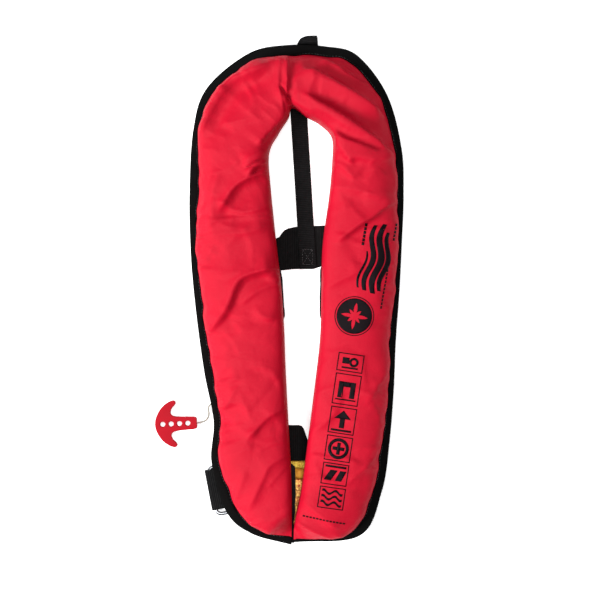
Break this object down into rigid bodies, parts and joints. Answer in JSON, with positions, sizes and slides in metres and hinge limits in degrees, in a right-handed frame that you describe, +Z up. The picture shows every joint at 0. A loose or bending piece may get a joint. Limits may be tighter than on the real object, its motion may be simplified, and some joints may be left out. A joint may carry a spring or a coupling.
{
  "type": "inflatable life jacket",
  "caption": "Packed horseshoe inflatable life jacket with waist belt, back strap, buckle and pull handle, lying on its back.",
  "frame": {"origin": "on the underside of the waist belt, where it crosses behind the neck opening", "axes": "+Z is up, out of the front face of the jacket lying on its back; +Y runs from the waist to the neck; +X to the viewer's right"},
  "size_m": [0.2977, 0.6086, 0.0443],
  "materials": {
    "red_cloth": "coated nylon, soft sheen",
    "black_cloth": "plain woven, matt",
    "black_tape": "grosgrain binding tape",
    "closure_tape": "hook and loop",
    "black_webbing": "ribbed polyester webbing",
    "yellow_webbing": "woven webbing, slight sparkle",
    "bladder_cloth": "coated nylon",
    "silver_tape": "retroreflective",
    "steel": "polished stainless",
    "cylinder_steel": "zinc plated",
    "brass": "turned",
    "black_plastic": "moulded",
    "grey_plastic": "moulded",
    "red_plastic": "moulded, satin",
    "orange_plastic": "moulded",
    "green_plastic": "moulded",
    "rubber": "matt",
    "ivory_cord": "braided"
  },
  "bodies": {
    "jacket": {"front_cover": "red_cloth", "back_panel": "black_cloth", "front_binding": "black_tape", "back_binding": "black_tape", "loop_tape_lower": "closure_tape", "hook_tape_lower": "closure_tape", "loop_tape_upper": "closure_tape", "hook_tape_upper": "closure_tape", "air_bladder": "bladder_cloth", "reflective_patch_left": "silver_tape", "reflective_patch_right": "silver_tape", "waist_belt": "black_webbing", "back_strap": "black_webbing", "grab_loop": "black_webbing", "belt_tail": "black_webbing", "crotch_strap": "yellow_webbing", "ring_webbing": "black_webbing", "hook_webbing": "black_webbing", "inflator_body": "black_plastic", "lever_pin": "steel", "piercer_spring": "steel", "cylinder_seal": "rubber", "inflator_manifold": "brass", "manifold_seal": "rubber", "manifold_nut": "brass", "ready_indicator": "green_plastic", "oral_elbow": "black_plastic", "oral_tube": "rubber", "oral_valve": "black_plastic", "valve_spring": "steel", "whistle": "orange_plastic"},
    "pull": {"pull_handle": "red_plastic", "pull_cord": "ivory_cord"},
    "lever": {"inflator_lever": "grey_plastic"},
    "piercer": {"piercing_pin": "steel"},
    "cylinder": {"gas_cylinder": "cylinder_steel"},
    "ring": {"buckle_ring": "steel"},
    "hook": {"buckle_hook": "steel"},
    "slider": {"belt_slider": "steel"},
    "poppet": {"valve_poppet": "orange_plastic"},
    "cap": {"dust_cap": "black_plastic"}
  },
  "joints": [
    {"name": "handle_pull", "type": "slide", "parent": "jacket", "child": "pull", "axis": [-0.891, -0.454, 0], "range_m": [0, 0.0339]},
    {"name": "lever_swing", "type": "hinge", "parent": "jacket", "child": "lever", "pos_m": [-0.056, -0.178, 0.008], "axis": [0, 0, 1], "range_deg": [0, 90]},
    {"name": "pin_stroke", "type": "slide", "parent": "jacket", "child": "piercer", "axis": [0, 1, 0], "range_m": [0, 0.003]},
    {"name": "cylinder_turn", "type": "hinge", "parent": "jacket", "child": "cylinder", "pos_m": [-0.056, -0.1, 0.0196], "axis": [0, 1, 0], "range_deg": [0, 2160]},
    {"name": "ring_swing", "type": "hinge", "parent": "jacket", "child": "ring", "pos_m": [-0.1052, -0.2892, 0.0044], "axis": [-0.1908, 0.9816, 0], "range_deg": [0, 170]},
    {"name": "hook_swing", "type": "hinge", "parent": "jacket", "child": "hook", "pos_m": [0.06, -0.268, 0.0044], "axis": [1, 0, 0], "range_deg": [0, 110]},
    {"name": "slider_travel", "type": "slide", "parent": "jacket", "child": "slider", "axis": [0, 1, 0], "range_m": [-0.012, 0.048]},
    {"name": "valve_press", "type": "slide", "parent": "jacket", "child": "poppet", "axis": [0, -1, 0], "range_m": [0, 0.003], "stiffness_N_per_m": 300},
    {"name": "cap_pull", "type": "slide", "parent": "jacket", "child": "cap", "axis": [0, 1, 0], "range_m": [0, 0.016]}
  ],
  "couplings": [
    {"joint": "lever_swing", "follows": "handle_pull", "rad_per_m": 46.3},
    {"joint": "pin_stroke", "follows": "handle_pull", "ratio": 0.0884}
  ]
}
